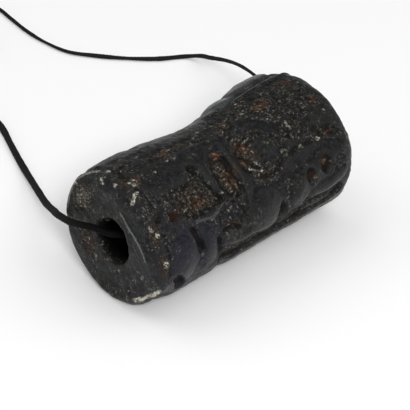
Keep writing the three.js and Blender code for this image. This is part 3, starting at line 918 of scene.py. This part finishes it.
# Marks on the near end: the worn line beside its mouth, streaks, pits and chips round it
END_MARKS: tuple[Form, ...] = (
    Oval(0.0, 0.0, 0.9, (-15.8, -50), (1.5, 3.2)),
    Oval(-0.03, 0.0, 0.85, (-17.4, -118), (1.1, 4.0)),
    Oval(0.0, 0.0, 0.7, (-15.6, 165), (1.2, 4.5)),
    Oval(0.0, 0.0, 0.6, (-14.4, 62), (0.9, 4.5)),
    Oval(0.0, 0.03, 0.05, (-16.6, 30), (0.9, 3.4)),
    Oval(-0.06, 0.0, 0.1, (-16.2, 50), (0.45, 4.2)),
    Stroke(0.05, 0.05, 0.0, ((-16.5, 19), (-17.0, 40), (-16.8, 59), (-16.1, 83)), 0.16),
    Oval(-0.12, 0.0, 0.8, (-17.9, -100), (0.2, 0.5)),
    Oval(-0.1, 0.0, 0.8, (-17.1, -128), (0.25, 0.4)),
    Oval(-0.1, 0.0, 0.8, (-16.2, 150), (0.3, 0.5)),
    Oval(0.06, 0.08, 0.6, (-14.8, 139), (0.4, 1.6)),
)


# Spots of deposit and of painted highlight: along, turn, half length and half width in mm, strength.
SPOTS: dict[Deposit, tuple[tuple[float, float, float, float, float], ...]] = {
    Deposit.EARTH: (
        (-7.7, 48, 2.3, 1.7, 0.75), (-2.4, 44, 1.2, 2.4, 0.75), (0.9, 36, 1.2, 1.9, 0.75),
        (2.0, 56, 1.6, 0.7, 0.5), (-5.5, 0, 3.0, 0.6, 0.55), (6.5, 3, 1.8, 0.8, 0.6),
        (1.2, 2, 1.4, 0.7, 0.5), (11.0, -8, 1.2, 0.7, 0.5), (11.6, 26, 1.2, 0.9, 0.4),
        (-15.8, -50, 1.4, 3.0, 0.6), (-17.4, -120, 0.9, 3.6, 0.7), (-12.3, 10, 1.2, 1.1, 0.7),
        (-13.8, 56, 0.9, 1.4, 0.8), (-13.6, 86, 0.8, 1.2, 0.7),
    ),
    Deposit.RUST: (
        (-6.8, 1, 0.7, 0.4, 0.6), (-8.7, -2, 0.4, 0.3, 0.4), (-10.6, 51, 0.6, 0.6, 0.9),
        (-7.0, 51, 1.1, 0.5, 0.6), (-2.2, 48, 0.9, 1.0, 0.55), (0.9, 28, 1.0, 0.8, 0.6),
        (0.1, 39, 0.35, 0.8, 0.6), (1.5, 0, 0.7, 0.5, 0.5), (6.5, 4, 1.3, 0.45, 0.6),
        (4.0, -13, 0.4, 0.4, 0.5), (11.3, -5, 0.9, 0.35, 0.6), (12.0, 22, 0.8, 0.5, 0.4),
        (11.2, 52, 0.8, 0.25, 0.7), (7.3, 78, 0.6, 0.6, 0.8), (9.6, 73, 0.5, 0.75, 0.85),
        (-3.2, 84, 0.35, 0.35, 0.7), (-4.0, 83, 0.9, 0.35, 0.4), (1.8, 60, 0.8, 0.4, 0.4),
        (-17.6, -122, 0.3, 0.5, 0.7),
    ),
    Deposit.CHALK: (
        (-13.3, -12, 0.35, 0.3, 0.6), (-16.0, -48, 1.2, 2.4, 0.5), (-17.6, -110, 0.3, 0.5, 0.6),
        (-17.4, -138, 0.35, 0.7, 0.6), (-18.2, 160, 0.25, 0.9, 0.5), (-13.9, 2, 0.4, 0.4, 0.7),
        (-14.3, -46, 0.4, 0.5, 1.0), (-12.2, 11, 0.45, 0.55, 0.85), (-14.1, 51, 0.45, 0.55, 0.72),
        (-13.4, 58, 0.4, 0.5, 0.8), (-13.3, 84, 0.45, 0.55, 0.7), (-16.4, 112, 0.3, 0.8, 0.55),
        (-7.3, 9, 0.3, 0.16, 0.8), (-9.4, 13, 0.25, 0.2, 0.6), (-10.8, 35, 0.5, 0.3, 0.4),
        (-8.9, 52, 0.35, 0.3, 0.6), (-4.1, 53, 0.2, 0.15, 0.8), (-4.0, 69, 0.18, 0.18, 0.8),
        (-4.0, 75, 0.15, 0.15, 0.7), (2.5, 50, 0.25, 0.2, 0.8), (3.1, 61, 0.4, 0.15, 0.8),
        (5.0, 48, 0.45, 0.4, 0.5), (4.3, 1, 0.4, 0.3, 0.6), (5.3, -14, 0.25, 0.2, 0.7),
        (7.3, 31, 0.2, 0.6, 0.6), (8.0, 40, 0.2, 0.3, 0.5), (12.0, 35, 0.3, 0.3, 0.5),
        (12.4, 48, 0.15, 0.15, 0.8), (7.3, 51.5, 0.35, 0.25, 1.3), (9.6, 52.5, 0.34, 0.2, 1.5),
        (11.3, 80, 0.8, 0.9, 0.3), (-2.0, 16, 0.3, 0.25, 0.5),
    ),
    # Painted reflection: the two lobes behind the top edge are painted paler.
    Deposit.PAINTED_HIGHLIGHT: (
        (5.2, -34, 2.2, 1.6, 0.3), (9.9, -33, 2.6, 0.9, 0.2),
    ),
}

# Streaks of deposit and of painted highlight: half width in mm, strength, path.
STREAKS: dict[Deposit, tuple[tuple[float, float, tuple[Place, ...]], ...]] = {
    Deposit.RUST: (
        (0.26, 1.5, ((-2.3, 22.5), (-1.9, 26))),
    ),
    Deposit.CHALK: (
        (0.34, 0.85, ((-13.3, -38), (-12.9, -28), (-12.5, -14))),
        (0.2, 0.8, ((-13.6, -15), (-14.4, -10))),
        (0.3, 0.85, ((-12.6, 20), (-14.2, 25))),
        (0.42, 1.6, ((-15.1, 147), (-14.7, 134), (-13.8, 115))),
        (0.17, 1.2, ((0.4, 47), (1.7, 54))),
    ),
    # Painted highlight: bright lines along the near rim's bead, its upper-left rim, the back lobes' crest
    # and a lobe's lower lip.
    Deposit.PAINTED_HIGHLIGHT: (
        (0.1, 1.0, ((-16.5, 19), (-17.0, 40), (-16.8, 59), (-16.1, 83))),
        (0.2, 1.0, ((-14.0, -44), (-13.0, -32), (-12.4, -14))),
        (0.09, 0.75, ((5.8, -19.5), (12.6, -18.7))),
        (0.12, 0.35, ((-8.4, 62.5), (-6.5, 66.5), (-4.4, 61.5))),
    ),
}

# Where the stone itself is tinged with violet: the smooth lobes, and a band over the near rim.
VIOLET_LOBES = Oval(place=(-9.4, 88), size=(4.2, 4.4))
VIOLET_BAND = Stroke(path=((-14.6, 28), (-14.2, 44), (-14.5, 62)), half=0.5)


def laid_patches() -> tuple[Patch, ...]:
    """Every spot, as an oval, and every streak, as a stroke."""
    spots = [
        Patch(kind, Oval(place=(along, turn), size=(length, width)), strength)
        for kind, rows in SPOTS.items() for along, turn, length, width, strength in rows
    ]
    streaks = [
        Patch(kind, Stroke(path=path, half=half), strength)
        for kind, rows in STREAKS.items() for half, strength, path in rows
    ]
    return (*spots, *streaks)


# --------------------------------------------------------------------------------- the thread


@dataclass
class Thread:
    """The thread: through the bore, along the surface, and its spare length in a small coil.

    Its centreline starts and ends half-way through the bore, where the two ends of the run meet.
    """

    diameter: float = 0.5 * MM
    turns_of_twist: float = 1.25 * MM
    plies: int = 3
    sides: int = 14
    ring_spacing: float = 0.11 * MM
    coil_centre: tuple[float, float] = (5.5 * MM, 49.0 * MM)
    coil_radius: float = 2.7 * MM
    layers: int = 4
    knot_centre: tuple[float, float, float] = (1.0 * MM, 46.4 * MM, 0.5 * MM)

    @staticmethod
    def smooth_route(points: np.ndarray, samples: int = 24) -> np.ndarray:
        """Centripetal Catmull-Rom curve through points.

        Each stretch blends cubic Hermite arcs whose end slopes are weighed by the square roots of
        the neighbouring distances.

        Args:
            points: Route points, shape (n, 3).
            samples: Points on each stretch.

        Returns:
            Points along the curve.
        """
        padded = np.concatenate([[2 * points[0] - points[1]], points, [2 * points[-1] - points[-2]]])
        step = np.sqrt(np.linalg.norm(np.diff(padded, axis=0), axis=1))[:, None]
        slope = np.diff(padded, axis=0) / step
        inner = (padded[2:] - padded[:-2]) / (step[:-1] + step[1:])
        tangent = slope[:-1] - inner + slope[1:]
        start, end = padded[1:-2], padded[2:-1]
        first, last = tangent[:-1] * step[1:-1], tangent[1:] * step[1:-1]
        t = np.linspace(0.0, 1.0, samples, endpoint=False)[:, None, None]
        h00, h10 = 2 * t**3 - 3 * t**2 + 1, t**3 - 2 * t**2 + t
        h01, h11 = 3 * t**2 - 2 * t**3, t**3 - t**2
        curve = h00 * start + h10 * first + h01 * end + h11 * last
        return np.concatenate([curve.transpose(1, 0, 2).reshape(-1, 3), points[-1:]])

    def coil(self) -> np.ndarray:
        """Centreline of the coil, from the knot's side to where it leaves.

        Each turn keeps to its own place in a square stack of turns a diameter apart, and moves to
        the next place over its last seventh. Angles run clockwise from the side nearest the knot.
        """
        whole_turns = self.layers * self.layers - 1
        angle = np.linspace(0.0, 2 * math.pi * (whole_turns + 0.25), 60 * whole_turns)
        turn = np.floor(angle / (2 * math.pi)).astype(int)
        share = smoothstep(angle / (2 * math.pi) - turn, 6 / 7, 1.0)

        def slot(number: np.ndarray) -> tuple[np.ndarray, np.ndarray]:
            level, place = number // self.layers, number % self.layers
            place = np.where(level % 2 == 0, self.layers - 1 - place, place)
            out = (place - (self.layers - 1) / 2) * self.diameter
            return self.coil_radius + out, self.diameter * (level + 0.5)

        here, after = slot(turn), slot(turn + 1)
        radius = here[0] + (after[0] - here[0]) * share
        height = here[1] + (after[1] - here[1]) * share
        x = self.coil_centre[0] - radius * np.cos(angle)
        y = self.coil_centre[1] + radius * np.sin(angle)
        return np.stack([x, y, height], -1)

    def centreline(self) -> np.ndarray:
        """Evenly spaced points from mid-bore by the far end, the coil and the knot, to mid-bore."""
        route = np.array(THREAD_ROUTE) * MM
        middle = int(np.argmin(np.linalg.norm(route[:, :2], axis=1)))
        coil = self.coil()
        knot = np.array([self.knot_centre])
        far = self.smooth_route(np.concatenate([route[middle::-1], coil[:-20:-4]]))
        near = self.smooth_route(np.concatenate([coil[12::-4], knot, route[:middle - 1:-1]]))
        line = np.concatenate([far, coil[-20:12:-1], near])
        run = np.concatenate([[0.0], np.cumsum(np.linalg.norm(np.diff(line, axis=0), axis=1))])
        even = np.arange(0.0, run[-1], self.ring_spacing)
        return np.stack([np.interp(even, run, line[:, k]) for k in range(3)], -1)

    @staticmethod
    def tube(line: np.ndarray, radius: np.ndarray, angles: np.ndarray) -> np.ndarray:
        """Carry a section along a line that never runs straight up.

        Each ring is centre + radius * (cos a * side + sin a * up), where side is level and up is
        square to side and to the line.
        """
        ahead = np.gradient(line, axis=0)
        ahead /= np.linalg.norm(ahead, axis=1, keepdims=True)
        side = np.cross(ahead, (0.0, 0.0, 1.0))
        side /= np.linalg.norm(side, axis=1, keepdims=True)
        up = np.cross(side, ahead)
        spread = np.cos(angles)[..., None] * side[:, None] + np.sin(angles)[..., None] * up[:, None]
        return line[:, None] + radius[..., None] * spread

    def build(self, knot: bpy.types.Object) -> bpy.types.Object:
        """Args:
            knot: The knot that is tied in it. It is not used.

        Returns:
            The finished piece.
        """
        line = self.centreline()
        run = np.arange(len(line)) * self.ring_spacing
        around = np.linspace(0.0, 2 * math.pi, self.sides, endpoint=False)[None, :]
        phase = self.plies * (around - 2 * math.pi * run[:, None] / self.turns_of_twist)
        slub = np.interp(run / run[-1], *np.array(THREAD_SLUBS).T)[:, None]
        uneven = 0.07 * noise(line / MM, 1.7, 3)[:, None] + 0.05 * noise(line / MM, 0.5, 9)[:, None]
        radius = self.diameter / 2 * (0.95 + 0.08 * np.cos(phase) + uneven) * slub
        around = np.broadcast_to(around, radius.shape)
        piece = closed_surface("thread_run", self.tube(line, radius, around), caps=True)
        set_attribute(piece, "ply", 0.5 + 0.5 * np.cos(phase))
        # Painted shade share: 1 along the bore, falling to 0 between 2.6 and 6.5 mm from the axis past its
        # ends.
        past_end = np.maximum(np.abs(line[:, 0]) - Stone.length * MM / 2, 0.0)
        off_axis = np.hypot(line[:, 1], line[:, 2] - Stone.axis_height * MM)
        inside = 1.0 - smoothstep(np.hypot(past_end, off_axis) / MM, 2.6, 6.5)
        set_attribute(piece, "inside", np.broadcast_to(inside[:, None], radius.shape))
        piece.data.materials.append(ThreadFinish().material())
        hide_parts("thread", "thread_coil")
        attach(piece, "root")
        return piece


# Route of the thread in mm: out of the coil, along the surface, over the far rim, through the bore,
# and down from the near mouth to the knot.
THREAD_ROUTE: tuple[tuple[float, float, float], ...] = (
    (7.4, 52.95, 0.95), (9.4, 54.4, 0.35), (12.0, 55.7, 0.28), (14.1, 55.0, 0.28),
    (14.8, 52.2, 0.28), (14.4, 49.2, 0.28), (13.9, 45.8, 0.28), (13.8, 42.3, 0.28),
    (14.35, 38.75, 0.28), (15.95, 36.05, 0.28), (18.2, 33.05, 0.28), (20.8, 30.35, 0.28),
    (23.6, 28.3, 0.32), (24.1, 26.4, 1.0), (23.4, 24.2, 2.05), (22.3, 20.6, 3.8),
    (20.9, 17.2, 5.4), (19.3, 13.6, 6.75), (17.9, 8.9, 7.25), (16.7, 3.9, 7.3),
    (14.4, 0.5, 7.0), (10.0, 0.1, 6.6), (0.0, 0.0, 6.4), (-10.0, 0.3, 6.7),
    (-13.0, 0.9, 7.6), (-14.3, 2.3, 8.3), (-15.05, 4.6, 8.1), (-14.85, 6.7, 7.75),
    (-13.1, 9.6, 5.95), (-10.7, 13.8, 3.65), (-8.4, 17.9, 2.1), (-6.3, 21.8, 0.9),
    (-4.7, 25.2, 0.44), (-3.25, 28.45, 0.42), (-1.75, 31.85, 0.42), (-0.6, 36.6, 0.42),
    (0.1, 41.2, 0.42), (0.6, 45.0, 0.42),
)

# How thick the spinning left the thread: share of the run, and times its usual thickness.
THREAD_SLUBS: tuple[tuple[float, float], ...] = (
    (0.0, 1.3), (0.03, 1.0), (0.07, 0.78), (0.085, 0.85), (0.1, 1.05), (0.112, 1.0), (0.119, 1.17),
    (0.1286, 0.85), (0.136, 1.08), (0.1455, 0.82), (0.154, 0.7), (0.163, 0.92), (0.2, 0.95),
    (0.84, 1.0), (0.87, 1.5), (0.985, 1.55), (1.0, 1.3),
)


@dataclass
class Knot:
    """The knot that closes the loop: a three-lobed winding of the same thread."""

    centre: tuple[float, float, float] = Thread.knot_centre
    diameter: float = Thread.diameter
    lobe: float = 0.24 * MM
    rings: int = 260
    sides: int = 12

    def build(self) -> bpy.types.Object:
        """Make the knot: (2 + cos 3t) (cos 2t, sin 2t), sin 3t for its centreline, closed on itself.

        Returns:
            The finished piece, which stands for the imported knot.
        """
        t = np.linspace(0.0, 2 * math.pi, self.rings, endpoint=False)
        flat = 2.0 + np.cos(3 * t)
        line = self.lobe * np.stack([flat * np.cos(2 * t), flat * np.sin(2 * t), np.sin(3 * t)], -1)
        ahead = np.roll(line, -1, 0) - np.roll(line, 1, 0)
        ahead /= np.linalg.norm(ahead, axis=1, keepdims=True)
        outward = line * np.array([1.0, 1.0, 0.0])
        side = np.cross(ahead, outward)
        side /= np.linalg.norm(side, axis=1, keepdims=True)
        up = np.cross(side, ahead)
        angle = np.linspace(0.0, 2 * math.pi, self.sides, endpoint=False)[None, :]
        phase = 3 * (angle - 9.0 * t[:, None])
        radius = self.diameter / 2 * (0.93 + 0.11 * np.cos(phase))
        spread = np.cos(angle)[..., None] * side[:, None] + np.sin(angle)[..., None] * up[:, None]
        grid = line[:, None] + radius[..., None] * spread + np.array(self.centre)
        piece = closed_surface("thread_tied_knot", grid, caps=False)
        set_attribute(piece, "ply", 0.5 + 0.5 * np.cos(phase))
        piece.data.materials.append(ThreadFinish().material())
        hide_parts("thread_knot")
        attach(piece, "root")
        return piece


# ---------------------------------------------------------------------------------- the studio


@dataclass(frozen=True)
class Lamp:
    """A square soft light.

    Args:
        name: Its name.
        turn: Degrees clockwise from straight behind the seal, as the camera sees it.
        elevation: Degrees over the floor.
        power: Its power in watts.
        size: Side of the square, in metres.
        distance: From the seal, in metres.
    """

    name: str
    turn: float
    elevation: float
    power: float
    size: float
    distance: float = 0.6


@dataclass
class Studio:
    """A white floor, soft light from all round, and the camera."""

    turn: float = 44.1
    elevation: float = 35.5
    distance: float = 250 * MM
    lens: float = 212.9
    sensor: float = 36.0
    aim_right: float = -0.598 * MM
    aim_up: float = -1.763 * MM
    target: tuple[float, float, float] = (0.0, 0.0, Stone.axis_height * MM)
    floor_size: float = 3.0
    sky: float = 0.38
    lamps: tuple[Lamp, ...] = (
        Lamp("key", turn=172.0, elevation=38.0, power=2.25, size=0.14),
        Lamp("fill_right", turn=105.0, elevation=58.0, power=0.9, size=0.5),
        Lamp("fill_left", turn=290.0, elevation=58.0, power=0.8, size=0.5),
    )

    def axes(self) -> tuple[Vector, Vector, Vector]:
        """The view's right, up and forward directions."""
        turn, tip = math.radians(self.turn), math.radians(self.elevation)
        forward = Vector((math.cos(tip) * math.sin(turn), math.cos(tip) * math.cos(turn), -math.sin(tip)))
        right = Vector((math.cos(turn), -math.sin(turn), 0.0))
        return right, right.cross(forward), forward

    def camera(self) -> None:
        """Place the camera and make it the scene's."""
        right, up, forward = self.axes()
        data = bpy.data.cameras.new("view")
        data.sensor_width = self.sensor
        data.lens = self.lens
        data.clip_start = 0.01
        camera = bpy.data.objects.new("view", data)
        aim = Vector(self.target) + right * self.aim_right + up * self.aim_up
        turned = Matrix((right, up, -forward)).transposed().to_4x4()
        camera.matrix_world = Matrix.Translation(aim - forward * self.distance) @ turned
        bpy.context.collection.objects.link(camera)
        bpy.context.scene.camera = camera

    def floor(self) -> bpy.types.Object:
        """A level white floor that isn't part of the object."""
        half = self.floor_size / 2
        mesh = bpy.data.meshes.new("backdrop")
        corners = [(-half, -half, 0), (half, -half, 0), (half, half, 0), (-half, half, 0)]
        mesh.from_pydata(corners, [], [(0, 1, 2, 3)])
        floor = bpy.data.objects.new("backdrop", mesh)
        mesh.materials.append(FloorFinish().material())
        bpy.context.collection.objects.link(floor)
        return floor

    def light(self, lamp: Lamp) -> None:
        """Place a lamp, facing the seal."""
        data = bpy.data.lights.new(lamp.name, "AREA")
        data.energy = lamp.power
        data.size = lamp.size
        light = bpy.data.objects.new(lamp.name, data)
        right, _, forward = self.axes()
        behind = Vector((forward.x, forward.y, 0.0)).normalized()
        turn, rise = math.radians(lamp.turn), math.radians(lamp.elevation)
        level = behind * math.cos(turn) + right * math.sin(turn)
        away = level * math.cos(rise) + Vector((0.0, 0.0, math.sin(rise)))
        light.location = Vector(self.target) + away * lamp.distance
        light.rotation_euler = away.to_track_quat("Z", "Y").to_euler()
        bpy.context.collection.objects.link(light)

    def lights(self) -> None:
        """An even sky, a broad light over the camera, and weaker ones round the seal."""
        world = bpy.data.worlds.new("sky")
        world.use_nodes = True
        sky = world.node_tree.nodes["Background"]
        sky.inputs["Color"].default_value = (1.0, 1.0, 1.0, 1.0)
        sky.inputs["Strength"].default_value = self.sky
        bpy.context.scene.world = world
        for lamp in self.lamps:
            self.light(lamp)

    def build(self) -> None:
        """Set up the floor, the lights and the camera, with plain colours on screen."""
        self.camera()
        self.floor()
        self.lights()
        bpy.context.scene.view_settings.view_transform = "Standard"


def main() -> None:
    """Build the studio, the thread, the knot and the stone, and report each."""
    logging.basicConfig(level=logging.INFO, format="%(message)s")
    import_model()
    Studio().build()
    LOG.info("studio set")
    knot = Knot().build()
    LOG.info("knot: %d faces", len(knot.data.polygons))
    thread = Thread().build(knot)
    LOG.info("thread: %d faces", len(thread.data.polygons))
    stone = Stone().build()
    LOG.info("stone: %d faces", len(stone.data.polygons))


if __name__ == "__main__":
    main()
